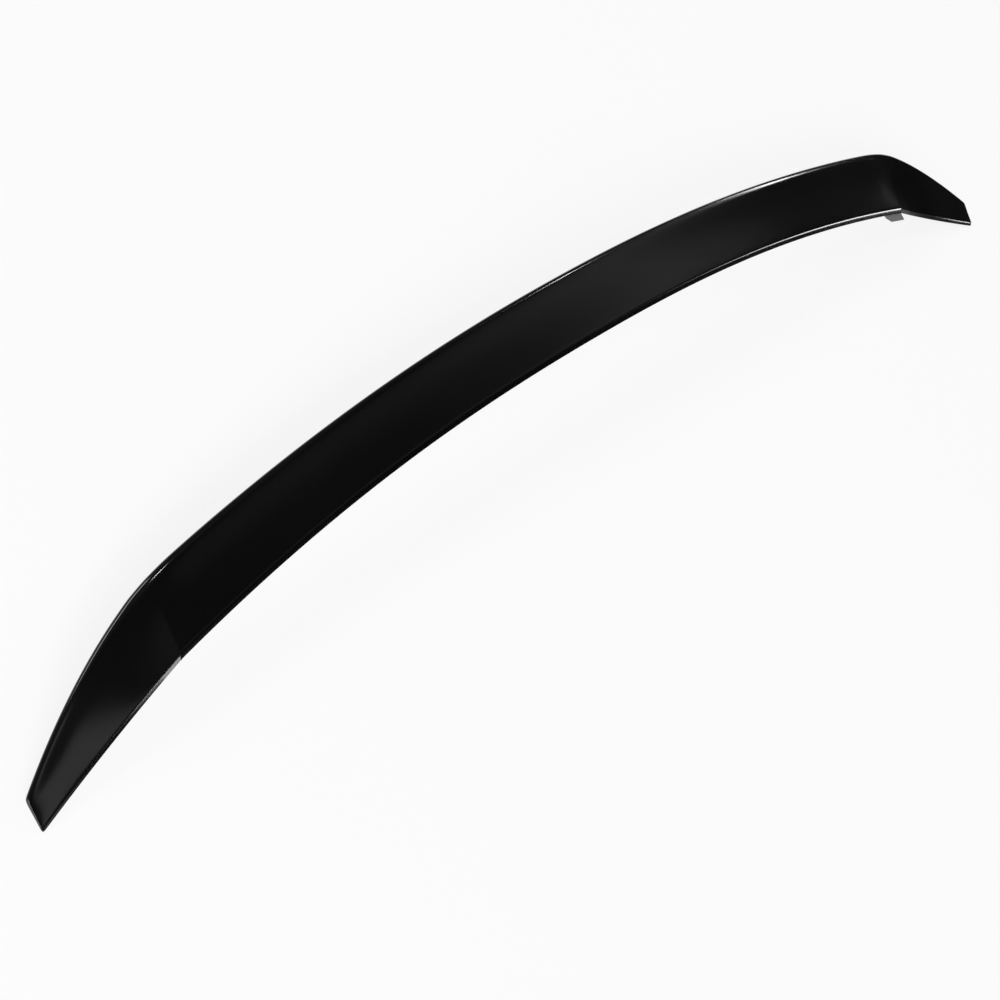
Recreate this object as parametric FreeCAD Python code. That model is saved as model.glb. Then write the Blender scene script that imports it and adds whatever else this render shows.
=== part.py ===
import FreeCAD, Part
import math
import os

# Trunk lip spoiler: one hollow moulding with a long curved blade and two folded wings,
# held to the lid by strips of double-sided foam tape.
# X runs across the car, Y to the rear, Z up. Millimetres. The origin lies in the middle
# of the car, on the bonding face of the front tape.

# Outline across the car
HALF_SPAN = 650.0          # middle of the car to a wing tip
WING_LENGTH = 146.0        # fold between blade and wing to the tip

# Section in the middle
CHORD = 58.05              # front corner to rear corner, along Y
KICK = 19.9                # rear corner above front corner
DISH_DEG = 3.0             # how much the top skin turns upwards at its rear

# Front corner line of the top skin
FRONT_SWEEP = 45.0         # how far it runs forwards from the middle to the fold
FRONT_SWEEP_POWER = 2.3
FRONT_CROWN = 30.0         # how far it falls from the middle to the fold
FRONT_CROWN_POWER = 2.0
FRONT_WING_SWEEP = 49.0    # the same from the fold to the tip
FRONT_WING_SWEEP_BOW = 5.0
FRONT_WING_DROP = 44.5
FRONT_WING_DROP_BOW = -12.5
FRONT_EASE = 1.0           # half length of the turn at the fold

# Rear corner line of the top skin
REAR_SWEEP = 42.5
REAR_SWEEP_POWER = 2.15
REAR_CROWN = 25.0
REAR_CROWN_POWER = 2.0
REAR_WING_SWEEP = 84.8
REAR_WING_SWEEP_BOW = 35.5
REAR_WING_DROP = 60.0
REAR_WING_DROP_BOW = 9.7
REAR_EASE = 34.0

# Nose: the rounded front edge
NOSE_HEIGHT = 4.4
NOSE_HEIGHT_TIP = 3.0
NOSE_RAKE = 1.0            # run to the front for each millimetre down
NOSE_RADIUS = 6.0
NOSE_RADIUS_TIP = 3.5

# Rear wall under the rear edge
WALL_HEIGHT = 24.3
WALL_HEIGHT_FOLD = 29.0
WALL_HEIGHT_TIP = 6.0
WALL_RAKE = 0.3            # run to the front for each millimetre down
EDGE_RADIUS = 3.5
EDGE_RADIUS_TIP = 2.0
TIP_RADIUS = 1.0           # rounding round the cut-off tip

# Hollow underside
SKIN = 3.0
FRONT_LAND = 16.0          # solid seat behind the nose
REAR_LAND = 12.0           # return flange at the foot of the rear wall
RIB = 2.5
BAYS = 10                  # pockets along the blade
FOLD_WALL = 4.0            # web on each side of a fold
TIP_SOLID = 44.0           # length of a wing that is solid at its thin tip
POKE = 3.0                 # how far a cutting body reaches past the underside

# Foam tape
TAPE = 1.1
TAPE_WIDTH = 10.0
TAPE_GAP = 0.1             # glue line between tape and moulding
FRONT_TAPE_INSET = 3.0     # nose foot to tape
REAR_TAPE_INSET = 1.0      # foot of the rear wall to tape
BLADE_FRONT_TAPE_CLEAR = 34.0   # fold to the end of each strip on the blade
BLADE_REAR_TAPE_CLEAR = 12.0
WING_TAPE_CLEAR = 7.0           # fold to the strips on a wing
WING_FRONT_TAPE_TIP = 14.0      # end of each strip on a wing to the tip
WING_REAR_TAPE_TIP = 32.0
TAB_LENGTH = 28.0          # loose tape end beside the left fold, along the nose
TAB_REACH = 7.0            # how far it shows in front of the nose
TAB_CHAMFER = 5.0
TAB_SHOULDER = 2.0         # half length of the step from the tab to the strip

# Number of steps between sections
BLADE_STEPS = 28
WING_STEPS = 6
POCKET_STEPS = 2
TAB_STEPS = 12

FOLD_X = HALF_SPAN - WING_LENGTH
BLADE_FRONT_TAPE_END = FOLD_X - BLADE_FRONT_TAPE_CLEAR
BLADE_REAR_TAPE_END = FOLD_X - BLADE_REAR_TAPE_CLEAR
WING_TAPE_START = FOLD_X + WING_TAPE_CLEAR
WING_FRONT_TAPE_END = HALF_SPAN - WING_FRONT_TAPE_TIP
WING_REAR_TAPE_END = HALF_SPAN - WING_REAR_TAPE_TIP


def eased(d, half):
    """Distance past a fold, with a round start that is half long on each side."""
    if d <= -half:
        return 0.0
    if d >= half:
        return d
    return (d + half) ** 2 / (4.0 * half)


def fall_line(x, fall, power, wing_fall, wing_bow, ease):
    """How far a corner line has fallen or swept at x, over the blade and then the wing."""
    reach = abs(x)
    past = max(reach - FOLD_X, 0.0)
    slope = fall * power / FOLD_X
    turn = (wing_fall - wing_bow) / WING_LENGTH - slope
    blade = fall * (min(reach, FOLD_X) / FOLD_X) ** power + slope * past
    return blade + turn * eased(reach - FOLD_X, ease) + wing_bow * (past / WING_LENGTH) ** 2


def taper(x, middle, fold, tip):
    """A size that changes gently along the blade and evenly along the wing."""
    reach = abs(x)
    if reach < FOLD_X:
        return middle + (fold - middle) * (reach / FOLD_X) ** 2
    return fold + (tip - fold) * (reach - FOLD_X) / WING_LENGTH


def vec(x, y, z):
    return FreeCAD.Vector(x, y, z)


def turned(v, degrees):
    """A direction in a section plane, turned about X."""
    a = math.radians(degrees)
    return vec(0, v.y * math.cos(a) - v.z * math.sin(a), v.y * math.sin(a) + v.z * math.cos(a))


def unit(v):
    return v * (1.0 / v.Length)


def corners(x):
    """Nose foot, front corner, rear corner and foot of the rear wall at x, all sharp."""
    nose = taper(x, NOSE_HEIGHT, NOSE_HEIGHT, NOSE_HEIGHT_TIP)
    wall = taper(x, WALL_HEIGHT, WALL_HEIGHT_FOLD, WALL_HEIGHT_TIP)
    front_y = NOSE_RAKE * NOSE_HEIGHT - FRONT_TAPE_INSET - TAPE_WIDTH / 2
    front_z = NOSE_HEIGHT + TAPE + TAPE_GAP
    front = vec(
        x,
        front_y - fall_line(x, FRONT_SWEEP, FRONT_SWEEP_POWER,
                            FRONT_WING_SWEEP, FRONT_WING_SWEEP_BOW, FRONT_EASE),
        front_z - fall_line(x, FRONT_CROWN, FRONT_CROWN_POWER,
                            FRONT_WING_DROP, FRONT_WING_DROP_BOW, FRONT_EASE))
    rear = vec(
        x,
        front_y + CHORD - fall_line(x, REAR_SWEEP, REAR_SWEEP_POWER,
                                    REAR_WING_SWEEP, REAR_WING_SWEEP_BOW, REAR_EASE),
        front_z + KICK - fall_line(x, REAR_CROWN, REAR_CROWN_POWER,
                                   REAR_WING_DROP, REAR_WING_DROP_BOW, REAR_EASE))
    nose_foot = front + vec(0, -NOSE_RAKE * nose, -nose)
    wall_foot = rear + vec(0, -WALL_RAKE * wall, -wall)
    return nose_foot, front, rear, wall_foot


def rounding(corner, into, out, radius):
    """Start, middle and end of the arc that rounds a corner between two directions."""
    half = math.acos(max(-1.0, min(1.0, -into.dot(out)))) / 2
    reach = radius / math.tan(half)
    depth = radius / math.sin(half) - radius
    return corner - into * reach, corner + unit(out - into) * depth, corner + out * reach


def outer_wire(x):
    """Closed outline of the moulding at x, with its nose and rear edge rounded."""
    nose_foot, front, rear, wall_foot = corners(x)
    chord = unit(rear - front)
    start_dir = turned(chord, -DISH_DEG)
    end_dir = turned(chord, DISH_DEG)
    nose = rounding(front, unit(front - nose_foot), start_dir,
                    taper(x, NOSE_RADIUS, NOSE_RADIUS, NOSE_RADIUS_TIP))
    edge = rounding(rear, end_dir, unit(wall_foot - rear),
                    taper(x, EDGE_RADIUS, EDGE_RADIUS, EDGE_RADIUS_TIP))
    third = (edge[0] - nose[2]).Length / 3
    top = Part.BezierCurve()
    top.setPoles([nose[2], nose[2] + start_dir * third, edge[0] - end_dir * third, edge[0]])
    return Part.Wire([
        Part.makeLine(nose_foot, nose[0]),
        Part.Arc(*nose).toShape(),
        top.toShape(),
        Part.Arc(*edge).toShape(),
        Part.makeLine(edge[2], wall_foot),
        Part.makeLine(wall_foot, nose_foot)])


def underside(x):
    """Nose foot, wall foot, direction to the rear and upward normal of the underside at x."""
    nose_foot, _, _, wall_foot = corners(x)
    along = unit(wall_foot - nose_foot)
    return nose_foot, wall_foot, along, turned(along, 90)


def crossing(p, p_dir, q, q_dir):
    """Where two lines in one section plane cross."""
    across = p_dir.y * q_dir.z - p_dir.z * q_dir.y
    step = ((q.y - p.y) * q_dir.z - (q.z - p.z) * q_dir.y) / across
    return p + p_dir * step


def pocket_wire(x):
    """Outline of the hollow at x: open below, wider above the return flange."""
    _, front, rear, _ = corners(x)
    nose_foot, wall_foot, along, up = underside(x)
    chord = unit(rear - front)
    sag = (rear - front).Length * math.tan(math.radians(DISH_DEG)) / 4
    roof = front - turned(chord, 90) * (SKIN + sag)
    wall_dir = unit(wall_foot - rear)
    wall = rear + turned(wall_dir, -90) * SKIN
    land_end = nose_foot + along * FRONT_LAND
    flange_end = wall_foot - along * REAR_LAND
    flange_top = flange_end + up * SKIN
    points = [
        land_end - up * POKE,
        crossing(land_end, up, roof, chord),
        crossing(roof, chord, wall, wall_dir),
        crossing(flange_top, along, wall, wall_dir),
        flange_top,
        flange_end - up * POKE]
    return Part.makePolygon(points + points[:1])


def strip_wire(x, start, end):
    """Section of a tape strip between two distances from the nose foot."""
    nose_foot, _, along, up = underside(x)
    glue = nose_foot - up * TAPE_GAP
    points = [
        glue + along * start,
        glue + along * end,
        glue + along * end - up * TAPE,
        glue + along * start - up * TAPE]
    return Part.makePolygon(points + points[:1])


def stations(start, end, steps):
    return [start + (end - start) * i / steps for i in range(steps + 1)]


def loft(wire_at, start, end, steps):
    return Part.makeLoft([wire_at(x) for x in stations(start, end, steps)], True, False)


def front_strip(x):
    return strip_wire(x, FRONT_TAPE_INSET, FRONT_TAPE_INSET + TAPE_WIDTH)


def rear_strip(x):
    nose_foot, wall_foot, _, _ = underside(x)
    end = (wall_foot - nose_foot).Length - REAR_TAPE_INSET
    return strip_wire(x, end - TAPE_WIDTH, end)


def mirrored(shape):
    return shape.mirror(vec(0, 0, 0), vec(1, 0, 0))


def blade():
    """Curved middle of the moulding, hollowed into bays with a rib between each two."""
    body = loft(outer_wire, -FOLD_X, FOLD_X, BLADE_STEPS)
    ends = stations(-FOLD_X, FOLD_X, BAYS)
    for i in range(BAYS):
        start = ends[i] + (FOLD_WALL if i == 0 else RIB / 2)
        end = ends[i + 1] - (FOLD_WALL if i == BAYS - 1 else RIB / 2)
        body = body.cut(loft(pocket_wire, start, end, POCKET_STEPS))
    return body


def wing():
    """Left wing, solid at its thin tip and hollow beside the fold."""
    body = loft(outer_wire, FOLD_X, HALF_SPAN, WING_STEPS)
    rim = [e for e in body.Edges
           if all(abs(v.X - HALF_SPAN) < 1e-6 for v in e.Vertexes)
           and e.CenterOfMass.z > corners(HALF_SPAN)[0].z + NOSE_HEIGHT_TIP / 2]
    body = body.makeFillet(TIP_RADIUS, rim)
    return body.cut(loft(pocket_wire, FOLD_X + FOLD_WALL, HALF_SPAN - TIP_SOLID, POCKET_STEPS))


def moulding():
    left = wing()
    return blade().fuse([left, mirrored(left)])


def left_front_tape():
    """Wing strip whose loose inner end shows in front of the nose beside the fold."""
    tab_start = FOLD_X - TAB_LENGTH
    reaches = [
        (tab_start, TAB_CHAMFER - TAB_REACH),
        (tab_start + TAB_CHAMFER, -TAB_REACH),
        (FOLD_X - TAB_SHOULDER, -TAB_REACH)]
    for x in stations(FOLD_X + TAB_SHOULDER, WING_FRONT_TAPE_END, TAB_STEPS):
        reaches.append((x, FRONT_TAPE_INSET))
    end = FRONT_TAPE_INSET + TAPE_WIDTH
    return Part.makeLoft([strip_wire(x, start, end) for x, start in reaches], True, True)


os.makedirs("parts", exist_ok=True)
right_front_tape = mirrored(loft(front_strip, WING_TAPE_START, WING_FRONT_TAPE_END, WING_STEPS))
left_rear_tape = loft(rear_strip, WING_TAPE_START, WING_REAR_TAPE_END, WING_STEPS)
moulding().exportStep("parts/spoiler_moulding.step")
loft(front_strip, -BLADE_FRONT_TAPE_END, BLADE_FRONT_TAPE_END, BLADE_STEPS).exportStep(
    "parts/blade_tape_front.step")
loft(rear_strip, -BLADE_REAR_TAPE_END, BLADE_REAR_TAPE_END, BLADE_STEPS).exportStep(
    "parts/blade_tape_rear.step")
left_front_tape().exportStep("parts/left_wing_tape_front.step")
left_rear_tape.exportStep("parts/left_wing_tape_rear.step")
right_front_tape.exportStep("parts/right_wing_tape_front.step")
mirrored(left_rear_tape).exportStep("parts/right_wing_tape_rear.step")
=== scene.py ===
import math

import bmesh
import bpy
from bpy.props import FloatProperty, FloatVectorProperty, IntProperty, PointerProperty
from bpy.types import Operator, Panel, PropertyGroup
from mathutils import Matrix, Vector


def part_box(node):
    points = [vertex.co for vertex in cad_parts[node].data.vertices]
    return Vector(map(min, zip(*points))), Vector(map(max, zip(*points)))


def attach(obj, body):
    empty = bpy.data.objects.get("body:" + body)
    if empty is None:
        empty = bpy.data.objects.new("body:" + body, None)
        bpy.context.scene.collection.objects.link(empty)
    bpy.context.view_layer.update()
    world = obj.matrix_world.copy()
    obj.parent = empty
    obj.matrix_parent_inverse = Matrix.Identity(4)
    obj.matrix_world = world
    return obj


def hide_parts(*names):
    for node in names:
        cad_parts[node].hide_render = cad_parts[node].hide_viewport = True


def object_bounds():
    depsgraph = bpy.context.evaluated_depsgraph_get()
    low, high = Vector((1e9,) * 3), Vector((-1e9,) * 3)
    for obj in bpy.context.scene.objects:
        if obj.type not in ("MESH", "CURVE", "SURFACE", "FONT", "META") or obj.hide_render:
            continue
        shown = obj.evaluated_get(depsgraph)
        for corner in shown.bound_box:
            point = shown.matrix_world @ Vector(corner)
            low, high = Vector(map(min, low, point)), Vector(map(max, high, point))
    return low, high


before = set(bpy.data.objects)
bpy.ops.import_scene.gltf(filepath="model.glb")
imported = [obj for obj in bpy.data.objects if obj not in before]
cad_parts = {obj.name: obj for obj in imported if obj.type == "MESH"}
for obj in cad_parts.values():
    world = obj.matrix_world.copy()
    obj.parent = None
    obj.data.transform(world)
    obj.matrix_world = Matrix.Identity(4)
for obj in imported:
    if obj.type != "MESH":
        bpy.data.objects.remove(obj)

bl_info = {
    "name": "Trunk Spoiler",
    "version": (1, 0, 0),
    "blender": (4, 5, 0),
    "location": "View3D > Sidebar > Spoiler",
    "description": "Gloss black trunk lip spoiler on foam tape, with its studio",
    "category": "Object",
}

CAD_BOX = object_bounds()
MOULDING = "spoiler_moulding"
TAPES = [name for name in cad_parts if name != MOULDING]
FLOOR_Z = CAD_BOX[0][2]

# Metres. Corner lines of the top skin: how far each sweeps forwards and falls from the
# middle to the fold, with its power, and then from the fold to the tip, with its bow.
FRONT_SWEEP = (0.045, 2.3, 0.049, 0.005)
FRONT_DROP = (0.030, 2.0, 0.0445, -0.0125)
FRONT_EASE = 0.001         # half length of the front line's rounding at the fold
REAR_SWEEP = (0.0425, 2.15, 0.0848, 0.0355)
REAR_DROP = (0.025, 2.0, 0.060, 0.0097)
REAR_EASE = 0.034
# In the middle: front corner, and the step from it to the rear corner, each along Y and Z
FRONT_CORNER = (-0.0036, 0.0056)
CHORD = (0.05805, 0.0199)
# Lean of nose and rear wall: forwards run for each unit of fall
NOSE_RAKE = 1.0
WALL_RAKE = 0.3
# Sizes in the middle, at the fold and at the tip
NOSE_HEIGHT = (0.0044, 0.0044, 0.0030)
NOSE_RADIUS = (0.006, 0.006, 0.0035)
WALL_HEIGHT = (0.0243, 0.029, 0.006)
EDGE_RADIUS = (0.0035, 0.0035, 0.002)
FOLD_WALL = 0.004          # from the fold to the pocket on each side
TIP_SOLID = 0.044          # length of the tip that has no pocket
TIP_ROUNDING = 0.0006
POKE = 0.003               # how far a pocket's cutter stands out below the underside

# Rings of the cage along half of the part, finer beside the fold, and points on its roundings
BLADE_RINGS = 20
WING_RINGS = 7
FOLD_RING_GAPS = (0.006, 0.016)
FOLD_CLEAR = 0.0192        # the evenly spaced rings keep this far from the fold
POCKET_RINGS = 2
NOSE_STEPS = 3
EDGE_STEPS = 4
SKIN_LEVELS = 3
START_RADIUS = 0.01        # circle that a profile is shaped from
SAME_PLACE = 1e-5
# From and to, as shares of the chord behind the front corner, and how sharp the fold is there
FOLD_CREASES = ((-1.0, 0.33, 1.0), (0.33, 0.7, 0.675), (0.7, 2.0, 0.35))
FOOT_CREASE = 0.85

UNPAINTED_BELOW = -0.6     # faces whose normal falls more than this stay raw plastic
SMOOTH_ANGLE = math.radians(35)
PATCH_RANGE = (0.35, 0.65)  # values of the patch noise between which a colour changes

FLOOR_RADIUS = 200.0
FLOOR_SIDES = 96
FLOOR_GAP = 0.0005
FLOOR_WHITE = 0.85         # share of plain white that the camera sees on the floor
CAMERA_PLACE = (-1.355, -0.19847, 1.3329)
CAMERA_TURN = (29.497, -30.277, -42.568)
CAMERA_LENS = 79.2
CAMERA_SENSOR = 36.0
CAMERA_NEAR = 0.05


class SpoilerSizes(PropertyGroup):
    half_span: FloatProperty(
        name="Half span", description="Middle of the car to a wing tip",
        default=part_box(MOULDING)[1][0], unit="LENGTH")
    fold_x: FloatProperty(
        name="Fold", description="Middle of the car to the fold between blade and wing",
        default=0.504, unit="LENGTH")
    dish: FloatProperty(
        name="Dish", description="How much the top skin turns upwards at its rear",
        default=math.radians(3.0), subtype="ANGLE")
    skin: FloatProperty(
        name="Skin", description="Wall thickness of the moulding", default=0.003, unit="LENGTH")
    front_land: FloatProperty(
        name="Front land", description="Solid seat behind the nose", default=0.016, unit="LENGTH")
    rear_land: FloatProperty(
        name="Rear land", description="Return flange at the foot of the rear wall",
        default=0.012, unit="LENGTH")
    rib: FloatProperty(
        name="Rib", description="Thickness of a rib", default=0.0025, unit="LENGTH")
    bays: IntProperty(
        name="Bays", description="Pockets along half of the blade", default=5, min=1)


class SpoilerColours(PropertyGroup):
    gloss: FloatVectorProperty(
        name="Gloss black", description="Colour of the painted outside",
        default=(0.0022, 0.0022, 0.0024), size=3, subtype="COLOR")
    raw: FloatVectorProperty(
        name="Raw black", description="Colour of the unpainted underside",
        default=(0.012, 0.012, 0.013), size=3, subtype="COLOR")
    foam: FloatVectorProperty(
        name="Foam", description="Colour of the foam tape",
        default=(0.16, 0.16, 0.16), size=3, subtype="COLOR")
    floor: FloatVectorProperty(
        name="Floor", description="Colour of the studio floor",
        default=(0.9, 0.9, 0.9), size=3, subtype="COLOR")


# Shape of the moulding

def eased(d, half):
    """Distance past a fold, with a round start that is half long on each side."""
    if d <= -half:
        return 0.0
    return d if d >= half else (d + half) ** 2 / (4 * half)


def fall_line(s, x, line, ease):
    """How far a corner line has fallen or swept at x."""
    fall, power, wing_fall, bow = line
    wing = s.half_span - s.fold_x
    past = max(x - s.fold_x, 0)
    slope = fall * power / s.fold_x
    turn = (wing_fall - bow) / wing - slope
    blade = fall * (min(x, s.fold_x) / s.fold_x) ** power + slope * past
    return blade + turn * eased(x - s.fold_x, ease) + bow * (past / wing) ** 2


def taper(s, x, sizes):
    """A size that changes gently along the blade and evenly along the wing."""
    middle, fold, tip = sizes
    if x < s.fold_x:
        return middle + (fold - middle) * (x / s.fold_x) ** 2
    return fold + (tip - fold) * (x - s.fold_x) / (s.half_span - s.fold_x)


def turned(v, angle):
    """A direction in a section plane, turned about X."""
    c, n = math.cos(angle), math.sin(angle)
    return Vector((0, v.y * c - v.z * n, v.y * n + v.z * c))


def corners(s, x):
    """Nose foot, front corner, rear corner and foot of the rear wall at x, all sharp."""
    nose, wall = taper(s, x, NOSE_HEIGHT), taper(s, x, WALL_HEIGHT)
    front = Vector((
        x, FRONT_CORNER[0] - fall_line(s, x, FRONT_SWEEP, FRONT_EASE),
        FRONT_CORNER[1] - fall_line(s, x, FRONT_DROP, FRONT_EASE)))
    rear = Vector((
        x, FRONT_CORNER[0] + CHORD[0] - fall_line(s, x, REAR_SWEEP, REAR_EASE),
        FRONT_CORNER[1] + CHORD[1] - fall_line(s, x, REAR_DROP, REAR_EASE)))
    return (front - Vector((0, NOSE_RAKE * nose, nose)), front, rear,
            rear - Vector((0, WALL_RAKE * wall, wall)))


def rounding(corner, into, out, radius, steps):
    """Points along the arc that rounds a corner between two directions."""
    half = math.acos(max(-1, min(1, -into.dot(out)))) / 2
    centre = corner + (out - into).normalized() * (radius / math.sin(half))
    spoke = corner - into * (radius / math.tan(half)) - centre
    swing = (math.pi - 2 * half) * (1 if into.cross(out).x > 0 else -1)
    return [centre + turned(spoke, swing * i / steps) for i in range(steps + 1)]


def skin_ring(s, x):
    """Cage ring at x: foot, rounded nose, dished top, rounded rear edge, foot of the wall."""
    foot, front, rear, wall_foot = corners(s, x)
    chord = (rear - front).normalized()
    start, end = turned(chord, -s.dish), turned(chord, s.dish)
    nose = rounding(front, (front - foot).normalized(), start, taper(s, x, NOSE_RADIUS),
                    NOSE_STEPS)
    edge = rounding(rear, end, (wall_foot - rear).normalized(), taper(s, x, EDGE_RADIUS),
                    EDGE_STEPS)
    third = (edge[0] - nose[-1]).length / 3
    top = [nose[-1] + start * third, edge[0] - end * third]
    middle = [nose[-1].lerp(edge[0], t).lerp(top[i], 2 / 3) for i, t in enumerate((1 / 3, 2 / 3))]
    ring = [foot] + nose + middle + edge + [wall_foot]
    return [Vector((x, p.y, p.z)) for p in ring]


def crossing(p, p_dir, q, q_dir):
    """Where two lines in one section plane cross."""
    across = p_dir.y * q_dir.z - p_dir.z * q_dir.y
    return p + p_dir * (((q.y - p.y) * q_dir.z - (q.z - p.z) * q_dir.y) / across)


def pocket_ring(s, x):
    """Outline of the hollow at x: open below, wider above the return flange."""
    foot, front, rear, wall_foot = corners(s, x)
    along = (wall_foot - foot).normalized()
    up = turned(along, math.pi / 2)
    chord = (rear - front).normalized()
    sag = (rear - front).length * math.tan(s.dish) / 4
    roof = front - turned(chord, math.pi / 2) * (s.skin + sag)
    wall_dir = (wall_foot - rear).normalized()
    wall = rear + turned(wall_dir, -math.pi / 2) * s.skin
    land_end = foot + along * s.front_land
    flange_end = wall_foot - along * s.rear_land
    flange_top = flange_end + up * s.skin
    return [land_end - up * POKE, crossing(land_end, up, roof, chord),
            crossing(roof, chord, wall, wall_dir), crossing(flange_top, along, wall, wall_dir),
            flange_top, flange_end - up * POKE]


# Modelling steps

def deselect_all():
    """Leaves edit mode, with nothing selected."""
    if bpy.context.object and bpy.context.object.mode != "OBJECT":
        bpy.ops.object.mode_set(mode="OBJECT")
    bpy.ops.object.select_all(action="DESELECT")


def edit_mesh():
    """The mesh that is being edited."""
    return bmesh.from_edit_mesh(bpy.context.edit_object.data)


def select_only(kind, wanted):
    """Selects the elements of the edited mesh that a test accepts."""
    bpy.ops.mesh.select_mode(type=kind)
    bpy.ops.mesh.select_all(action="DESELECT")
    bm = edit_mesh()
    seq = {"VERT": bm.verts, "EDGE": bm.edges, "FACE": bm.faces}[kind]
    for item in seq:
        if wanted(item):
            item.select_set(True)
    bmesh.update_edit_mesh(bpy.context.edit_object.data)


def place_ring(ring):
    """Moves the selected ring's points to their places, one after another."""
    order = [v.index for v in edit_mesh().verts if v.select]
    for index, place in zip(order, ring):
        bm = edit_mesh()
        bm.verts.ensure_lookup_table()
        for v in bm.verts:
            v.select_set(v.index == index)
        here = bm.verts[index].co.copy()
        bmesh.update_edit_mesh(bpy.context.edit_object.data)
        bpy.ops.transform.translate(value=place - here)
    bm = edit_mesh()
    bm.verts.ensure_lookup_table()
    for index in order:
        bm.verts[index].select_set(True)
    bm.select_flush(True)
    bmesh.update_edit_mesh(bpy.context.edit_object.data)


def extrude_rings(name, rings, closed_start):
    """A closed tube drawn ring by ring, as a profile is extruded and shaped by hand."""
    deselect_all()
    bpy.ops.mesh.primitive_circle_add(vertices=len(rings[0]), radius=START_RADIUS,
                                     fill_type="NOTHING")
    piece = bpy.context.object
    piece.name = piece.data.name = name
    bpy.ops.object.mode_set(mode="EDIT")
    bpy.ops.mesh.select_mode(type="VERT")
    bpy.ops.mesh.select_all(action="SELECT")
    place_ring(rings[0])
    if closed_start:
        bpy.ops.mesh.edge_face_add()
    for ring in rings[1:]:
        bpy.ops.mesh.extrude_edges_move(TRANSFORM_OT_translate={"value": (0, 0, 0)})
        place_ring(ring)
    bpy.ops.mesh.edge_face_add()
    bpy.ops.mesh.select_all(action="SELECT")
    bpy.ops.mesh.normals_make_consistent(inside=False)
    return piece


def add_modifier(piece, kind, **settings):
    """Adds a modifier with its settings and applies it."""
    deselect_all()
    piece.select_set(True)
    bpy.context.view_layer.objects.active = piece
    modifier = piece.modifiers.new(kind.title(), kind)
    for key, value in settings.items():
        setattr(modifier, key, value)
    bpy.ops.object.modifier_apply(modifier=modifier.name)


def crease(wanted, amount):
    """Sharpens the edges that a test accepts."""
    select_only("EDGE", wanted)
    bpy.ops.transform.edge_crease(value=amount)


# Finishes

def node(tree, kind, x, y, **inputs):
    """Adds a node at a place in the tree and sets its inputs."""
    item = tree.nodes.new(kind)
    item.location = (x, y)
    for key, value in inputs.items():
        item.inputs[key.replace("_", " ")].default_value = value
    return item


def surface_texture_group():
    """Waviness and grain of a moulded surface: a height, a roughness and a patchy mask."""
    name = "moulded_surface"
    if name in bpy.data.node_groups:
        return bpy.data.node_groups[name]
    tree = bpy.data.node_groups.new(name, "ShaderNodeTree")
    face = tree.interface
    face.new_socket("Vector", in_out="INPUT", socket_type="NodeSocketVector")
    for label, value in (("Wave Scale", 60), ("Grain Scale", 900), ("Grain Share", 0.3),
                         ("Roughness Low", 0.05), ("Roughness High", 0.09)):
        socket = face.new_socket(label, in_out="INPUT", socket_type="NodeSocketFloat")
        socket.default_value = value
    for label in ("Height", "Roughness", "Patch"):
        face.new_socket(label, in_out="OUTPUT", socket_type="NodeSocketFloat")
    enter = node(tree, "NodeGroupInput", -800, 0)
    leave = node(tree, "NodeGroupOutput", 500, 0)
    wave = node(tree, "ShaderNodeTexNoise", -500, 200, Detail=2.0)
    grain = node(tree, "ShaderNodeTexNoise", -500, -50, Detail=3.0)
    patch = node(tree, "ShaderNodeTexNoise", -500, -300, Scale=7.0, Detail=4.0)
    mix = node(tree, "ShaderNodeMix", -200, 100)
    rough = node(tree, "ShaderNodeMapRange", -200, -250)
    link = tree.links.new
    for noise in (wave, grain, patch):
        link(enter.outputs["Vector"], noise.inputs["Vector"])
    link(enter.outputs["Wave Scale"], wave.inputs["Scale"])
    link(enter.outputs["Grain Scale"], grain.inputs["Scale"])
    link(enter.outputs["Grain Share"], mix.inputs["Factor"])
    link(wave.outputs["Fac"], mix.inputs["A"])
    link(grain.outputs["Fac"], mix.inputs["B"])
    link(patch.outputs["Fac"], rough.inputs["Value"])
    link(enter.outputs["Roughness Low"], rough.inputs["To Min"])
    link(enter.outputs["Roughness High"], rough.inputs["To Max"])
    link(mix.outputs["Result"], leave.inputs["Height"])
    link(rough.outputs["Result"], leave.inputs["Roughness"])
    link(patch.outputs["Fac"], leave.inputs["Patch"])
    return tree


def moulded_material(name, colour, spread, bump, distance, **group_values):
    """Plastic whose colour, roughness and normal vary gently over the surface."""
    material = bpy.data.materials.new(name)
    material.use_nodes = True
    tree = material.node_tree
    shader = tree.nodes["Principled BSDF"]
    place = node(tree, "ShaderNodeTexCoord", -1100, 0)
    group = node(tree, "ShaderNodeGroup", -850, 0)
    group.node_tree = surface_texture_group()
    for key, value in group_values.items():
        group.inputs[key.replace("_", " ").title()].default_value = value
    ramp = node(tree, "ShaderNodeValToRGB", -550, 200)
    shades = zip(ramp.color_ramp.elements, PATCH_RANGE, (1 - spread, 1 + spread))
    for stop, position, factor in shades:
        stop.position = position
        stop.color = (*(c * factor for c in colour), 1)
    relief = node(tree, "ShaderNodeBump", -300, -250, Strength=bump, Distance=distance)
    link = tree.links.new
    link(place.outputs["Object"], group.inputs["Vector"])
    link(group.outputs["Patch"], ramp.inputs["Fac"])
    link(ramp.outputs["Color"], shader.inputs["Base Color"])
    link(group.outputs["Roughness"], shader.inputs["Roughness"])
    link(group.outputs["Height"], relief.inputs["Height"])
    link(relief.outputs["Normal"], shader.inputs["Normal"])
    return material


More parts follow.
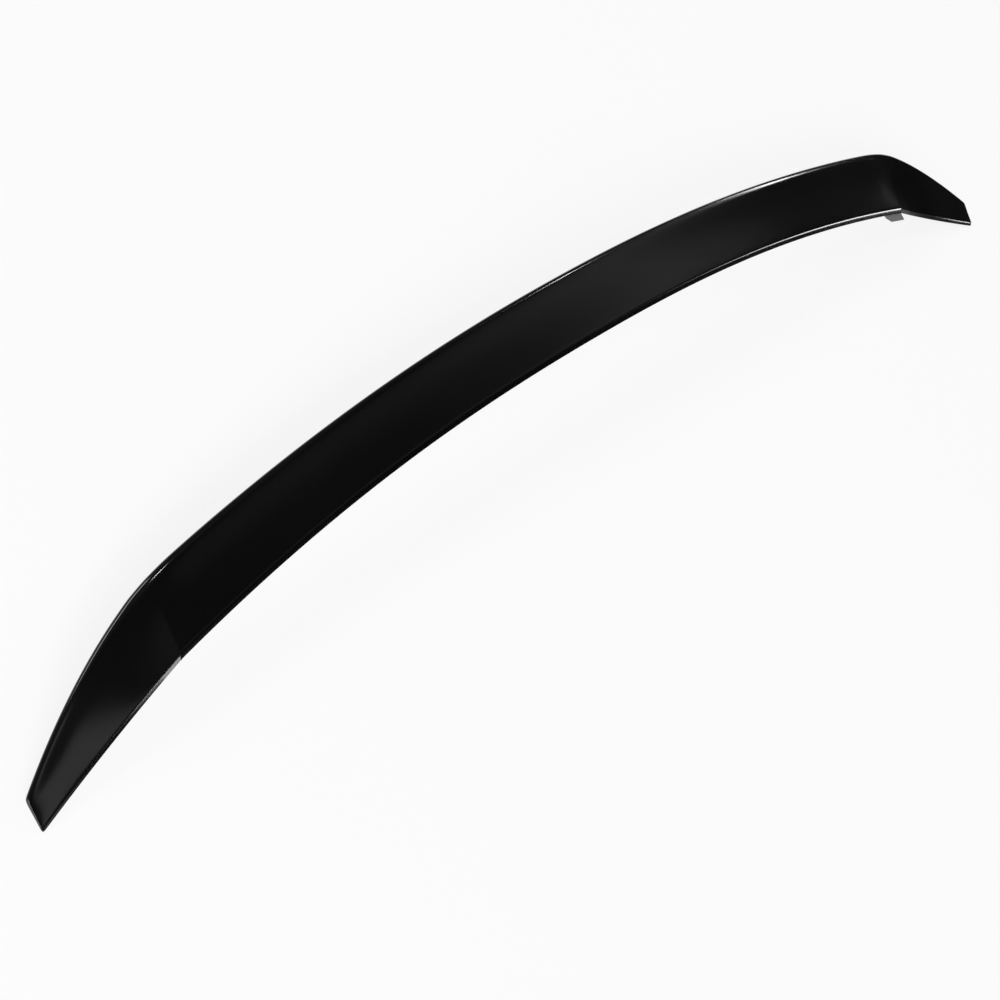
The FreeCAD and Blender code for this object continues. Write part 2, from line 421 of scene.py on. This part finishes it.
class SPOILER_OT_moulding(Operator):
    """Models the hollow moulding: lofted skin, then the pockets of its underside"""
    bl_idname = "spoiler.moulding"
    bl_label = "Moulding"

    def execute(self, context):
        s = context.scene.spoiler_sizes
        colours = context.scene.spoiler_colours
        gloss = moulded_material(
            "gloss_black", colours.gloss, spread=0.15, bump=0.008, distance=0.0004,
            wave_scale=90.0, grain_scale=500.0, grain_share=0.15,
            roughness_low=0.08, roughness_high=0.13)
        raw = moulded_material(
            "raw_black", colours.raw, spread=0.25, bump=0.25, distance=0.0003,
            wave_scale=200.0, grain_scale=1600.0, grain_share=0.7,
            roughness_low=0.38, roughness_high=0.55)
        skin = self.skin(s)
        skin.data.materials.append(gloss)
        skin.data.materials.append(raw)
        cutter = self.pockets(s)
        cutter.data.materials.append(raw)
        add_modifier(skin, "BOOLEAN", operation="DIFFERENCE", solver="EXACT", object=cutter,
                     material_mode="TRANSFER")
        bpy.data.objects.remove(cutter)
        if not skin.data.polygons:
            raise RuntimeError("The pockets left nothing of the moulding")
        self.paint_underside(skin)
        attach(skin, "root")
        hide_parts(MOULDING)
        return {"FINISHED"}

    def stations(self, s):
        """Places of the cage's rings from the middle to the tip."""
        wing = s.half_span - s.fold_x
        even = [s.fold_x * i / BLADE_RINGS for i in range(BLADE_RINGS)]
        even += [s.fold_x + wing * i / WING_RINGS for i in range(1, WING_RINGS + 1)]
        near = [s.fold_x + side * gap for gap in FOLD_RING_GAPS for side in (-1, 1)]
        clear = [x for x in even if abs(x - s.fold_x) > FOLD_CLEAR]
        return sorted(clear + near + [s.fold_x])

    def skin(self, s):
        """The outer skin: half of it drawn and creased, then mirrored and smoothed."""
        rings = [skin_ring(s, x) for x in self.stations(s)]
        tip = rings[-1]
        centre = sum(tip, Vector()) / len(tip)
        rings[-1] = skin_ring(s, s.half_span - TIP_ROUNDING)
        rings.append([p + (centre - p).normalized() * TIP_ROUNDING for p in tip])
        skin = extrude_rings("moulding_skin", rings, closed_start=False)
        self.crease_fold(s)
        self.crease_feet(rings)
        bpy.ops.object.mode_set(mode="OBJECT")
        add_modifier(skin, "MIRROR", use_mirror_merge=True, merge_threshold=SAME_PLACE)
        add_modifier(skin, "SUBSURF", levels=SKIN_LEVELS, render_levels=SKIN_LEVELS)
        return skin

    def crease_fold(self, s):
        """Makes the fold crisp at the nose and softer towards the rear edge."""
        _, front, rear, _ = corners(s, s.fold_x)

        def on_fold(edge, low, high):
            if any(abs(v.co.x - s.fold_x) >= SAME_PLACE for v in edge.verts):
                return False
            middle_y = sum(v.co.y for v in edge.verts) / 2
            return low <= (middle_y - front.y) / (rear.y - front.y) < high

        for low, high, amount in FOLD_CREASES:
            crease(lambda edge: on_fold(edge, low, high), amount)

    def crease_feet(self, rings):
        """Sharpens the long edges at the foot of the nose and of the rear wall."""
        def place(point):
            return tuple(round(c, 6) for c in point)

        feet = {place(end) for ring in rings for end in (ring[0], ring[-1])}
        crease(lambda edge: all(place(v.co) in feet for v in edge.verts)
               and abs(edge.verts[0].co.x - edge.verts[1].co.x) > SAME_PLACE, FOOT_CREASE)

    def pockets(self, s):
        """One cutter with a block for each hollow between two ribs, on both sides."""
        ends = [s.fold_x * i / s.bays for i in range(s.bays + 1)]
        spans = [(ends[i] + s.rib / 2, ends[i + 1] - s.rib / 2) for i in range(s.bays)]
        spans[-1] = (spans[-1][0], s.fold_x - FOLD_WALL)
        spans.append((s.fold_x + FOLD_WALL, s.half_span - TIP_SOLID))
        blocks = []
        for start, end in spans:
            steps = [start + (end - start) * i / POCKET_RINGS for i in range(POCKET_RINGS + 1)]
            blocks.append(extrude_rings("pocket", [pocket_ring(s, x) for x in steps],
                                        closed_start=True))
        deselect_all()
        for block in blocks:
            block.select_set(True)
        bpy.context.view_layer.objects.active = blocks[0]
        bpy.ops.object.join()
        add_modifier(blocks[0], "MIRROR", use_mirror_merge=False)
        return blocks[0]

    def paint_underside(self, skin):
        """Gives the faces that look down the raw plastic, and shades the skin smooth."""
        deselect_all()
        skin.select_set(True)
        bpy.context.view_layer.objects.active = skin
        bpy.ops.object.mode_set(mode="EDIT")
        select_only("FACE", lambda f: f.normal.z < UNPAINTED_BELOW)
        skin.active_material_index = skin.material_slots.find("raw_black")
        bpy.ops.object.material_slot_assign()
        bpy.ops.object.mode_set(mode="OBJECT")
        bpy.ops.object.shade_smooth_by_angle(angle=SMOOTH_ANGLE)


class SPOILER_OT_tape(Operator):
    """Gives the foam tape strips their finish"""
    bl_idname = "spoiler.tape"
    bl_label = "Foam tape"

    def execute(self, context):
        if not TAPES:
            raise RuntimeError("The frame holds no tape strips")
        foam = moulded_material(
            "foam_tape", context.scene.spoiler_colours.foam, spread=0.12, bump=0.5,
            distance=0.0004, wave_scale=700.0, grain_scale=2600.0, grain_share=0.5,
            roughness_low=0.75, roughness_high=0.95)
        for name in TAPES:
            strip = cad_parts[name]
            strip.data.materials.clear()
            strip.data.materials.append(foam)
        return {"FINISHED"}


class SPOILER_OT_studio(Operator):
    """Sets the floor, the lamps, the world and the camera"""
    bl_idname = "spoiler.studio"
    bl_label = "Studio"

    # Name, place, aim, width, height and power. All but the first two are small panels, each
    # where the gloss mirrors it as one highlight.
    LAMPS = (
        ("key", (-2.6, -1.6, 2.4), (0, 0, 0), 2.0, 2.0, 95.0),
        ("fill", (-1.2, 2.6, 2.2), (0, 0, 0), 2.0, 1.2, 45.0),
        ("wing_sheen", (-0.492, -0.361, 0.326), (-0.62, -0.07, -0.06), 0.057, 0.042, 0.0055),
        ("far_fold_sheen", (3.934, -1.182, 1.69), (0.49, -0.05, 0), 0.15, 0.09, 0.022),
        ("nose_strip", (3.545, -2.38, 0.83), (0.4, -0.05, 0), 0.5, 0.56, 12.5),
        ("edge_strip", (2.806, 0.045, 1.654), (0.29, 0.045, 0.02), 1.2, 0.12, 11.5),
        ("edge_patch", (2.779, -0.592, 1.598), (0.31, 0.033, 0.013), 0.333, 0.094, 1.6),
        ("edge_glint", (2.12, 0.05, 2.12), (-0.02, 0.05, 0.02), 0.5, 0.1, 5.5),
        ("fold_glint", (0.35, -0.73, 2.24), (-0.49, 0, 0), 0.12, 0.16, 4.0),
        ("foot_glint", (0.838, -2.698, 0.384), (-0.52, -0.056, -0.034), 0.073, 0.147, 0.4),
    )

    # Grey of the studio by height: 0 is straight down, 0.5 the horizon and 1 straight up
    STUDIO_WALLS = (
        (0.51, 0.5), (0.522, 0.01), (0.595, 0.01), (0.62, 0.035), (0.65, 0.03), (0.70, 0.045),
        (0.74, 0.04), (0.757, 0.04), (0.772, 0.16), (0.79, 0.38), (0.808, 0.26), (0.83, 0.11),
        (0.86, 0.03), (0.895, 0.03), (0.925, 0.11))

    def execute(self, context):
        self.floor(context)
        for lamp in self.LAMPS:
            self.lamp(*lamp)
        self.world(context)
        self.camera(context)
        context.scene.view_settings.view_transform = "Standard"
        return {"FINISHED"}

    def floor(self, context):
        """A pale floor, near white to the camera and in reflections, that keeps the shadow."""
        deselect_all()
        bpy.ops.mesh.primitive_circle_add(
            vertices=FLOOR_SIDES, radius=FLOOR_RADIUS, fill_type="NGON",
            location=(0, 0, FLOOR_Z - FLOOR_GAP))
        floor = context.object
        floor.name = "studio_floor"
        material = bpy.data.materials.new("studio_floor")
        material.use_nodes = True
        tree = material.node_tree
        shader = tree.nodes["Principled BSDF"]
        shader.inputs["Base Color"].default_value = (*context.scene.spoiler_colours.floor, 1)
        shader.inputs["Roughness"].default_value = 1.0
        shader.inputs["Specular IOR Level"].default_value = 0.0
        path = node(tree, "ShaderNodeLightPath", -700, 300)
        seen = node(tree, "ShaderNodeMath", -450, 300)
        seen.operation = "MAXIMUM"
        either = node(tree, "ShaderNodeMath", -250, 300)
        either.operation = "MAXIMUM"
        share = node(tree, "ShaderNodeMath", -50, 300)
        share.operation = "MULTIPLY"
        share.inputs[1].default_value = FLOOR_WHITE
        white = node(tree, "ShaderNodeEmission", -50, 100)
        mix = node(tree, "ShaderNodeMixShader", 200, 200)
        link = tree.links.new
        link(path.outputs["Is Camera Ray"], seen.inputs[0])
        link(path.outputs["Is Glossy Ray"], seen.inputs[1])
        link(seen.outputs[0], either.inputs[0])
        link(path.outputs["Is Transmission Ray"], either.inputs[1])
        link(either.outputs[0], share.inputs[0])
        link(share.outputs[0], mix.inputs[0])
        link(shader.outputs[0], mix.inputs[1])
        link(white.outputs[0], mix.inputs[2])
        link(mix.outputs[0], tree.nodes["Material Output"].inputs["Surface"])
        floor.data.materials.append(material)

    def lamp(self, name, place, aim, width, height, power):
        """A panel of light that the camera doesn't see."""
        deselect_all()
        bpy.ops.object.light_add(type="AREA", location=place)
        lamp = bpy.context.object
        lamp.name = "lamp_" + name
        lamp.rotation_euler = (Vector(aim) - Vector(place)).to_track_quat("-Z", "Y").to_euler()
        lamp.data.shape = "RECTANGLE"
        lamp.data.size = width
        lamp.data.size_y = height
        lamp.data.energy = power
        lamp.visible_camera = False

    def world(self, context):
        """A grey studio whose brightness depends on height alone."""
        world = bpy.data.worlds.new("studio_world")
        world.use_nodes = True
        tree = world.node_tree
        place = node(tree, "ShaderNodeTexCoord", -900, 0)
        split = node(tree, "ShaderNodeSeparateXYZ", -700, 0)
        height = node(tree, "ShaderNodeMapRange", -500, 0, From_Min=-1.0)
        ramp = node(tree, "ShaderNodeValToRGB", -300, 0)
        stops = ramp.color_ramp.elements
        while len(stops) < len(self.STUDIO_WALLS):
            stops.new(1.0)
        for stop, (level, grey) in zip(stops, self.STUDIO_WALLS):
            stop.position = level
            stop.color = (grey, grey, grey, 1)
        link = tree.links.new
        link(place.outputs["Generated"], split.inputs["Vector"])
        link(split.outputs["Z"], height.inputs["Value"])
        link(height.outputs["Result"], ramp.inputs["Fac"])
        link(ramp.outputs["Color"], tree.nodes["Background"].inputs["Color"])
        context.scene.world = world

    def camera(self, context):
        """The camera, above the near wing and looking along the part."""
        deselect_all()
        bpy.ops.object.camera_add(
            location=CAMERA_PLACE, rotation=[math.radians(a) for a in CAMERA_TURN])
        camera = context.object
        camera.data.lens = CAMERA_LENS
        camera.data.sensor_width = CAMERA_SENSOR
        camera.data.clip_start = CAMERA_NEAR
        context.scene.camera = camera


class SPOILER_PT_panel(Panel):
    """Lists the sizes, the colours and the steps that build the part"""
    bl_label = "Trunk Spoiler"
    bl_idname = "SPOILER_PT_panel"
    bl_space_type = "VIEW_3D"
    bl_region_type = "UI"
    bl_category = "Spoiler"

    def draw(self, context):
        for group in (context.scene.spoiler_sizes, context.scene.spoiler_colours):
            box = self.layout.box()
            for key in group.__annotations__:
                box.prop(group, key)
        for operator in OPERATORS:
            self.layout.operator(operator.bl_idname)


OPERATORS = (SPOILER_OT_moulding, SPOILER_OT_tape, SPOILER_OT_studio)
CLASSES = (SpoilerSizes, SpoilerColours) + OPERATORS + (SPOILER_PT_panel,)


def register():
    for item in CLASSES:
        bpy.utils.register_class(item)
    bpy.types.Scene.spoiler_sizes = PointerProperty(type=SpoilerSizes)
    bpy.types.Scene.spoiler_colours = PointerProperty(type=SpoilerColours)


def unregister():
    del bpy.types.Scene.spoiler_colours
    del bpy.types.Scene.spoiler_sizes
    for item in reversed(CLASSES):
        bpy.utils.unregister_class(item)


def main():
    register()
    bpy.ops.spoiler.moulding()
    bpy.ops.spoiler.tape()
    bpy.ops.spoiler.studio()


if __name__ == "__main__":
    main()
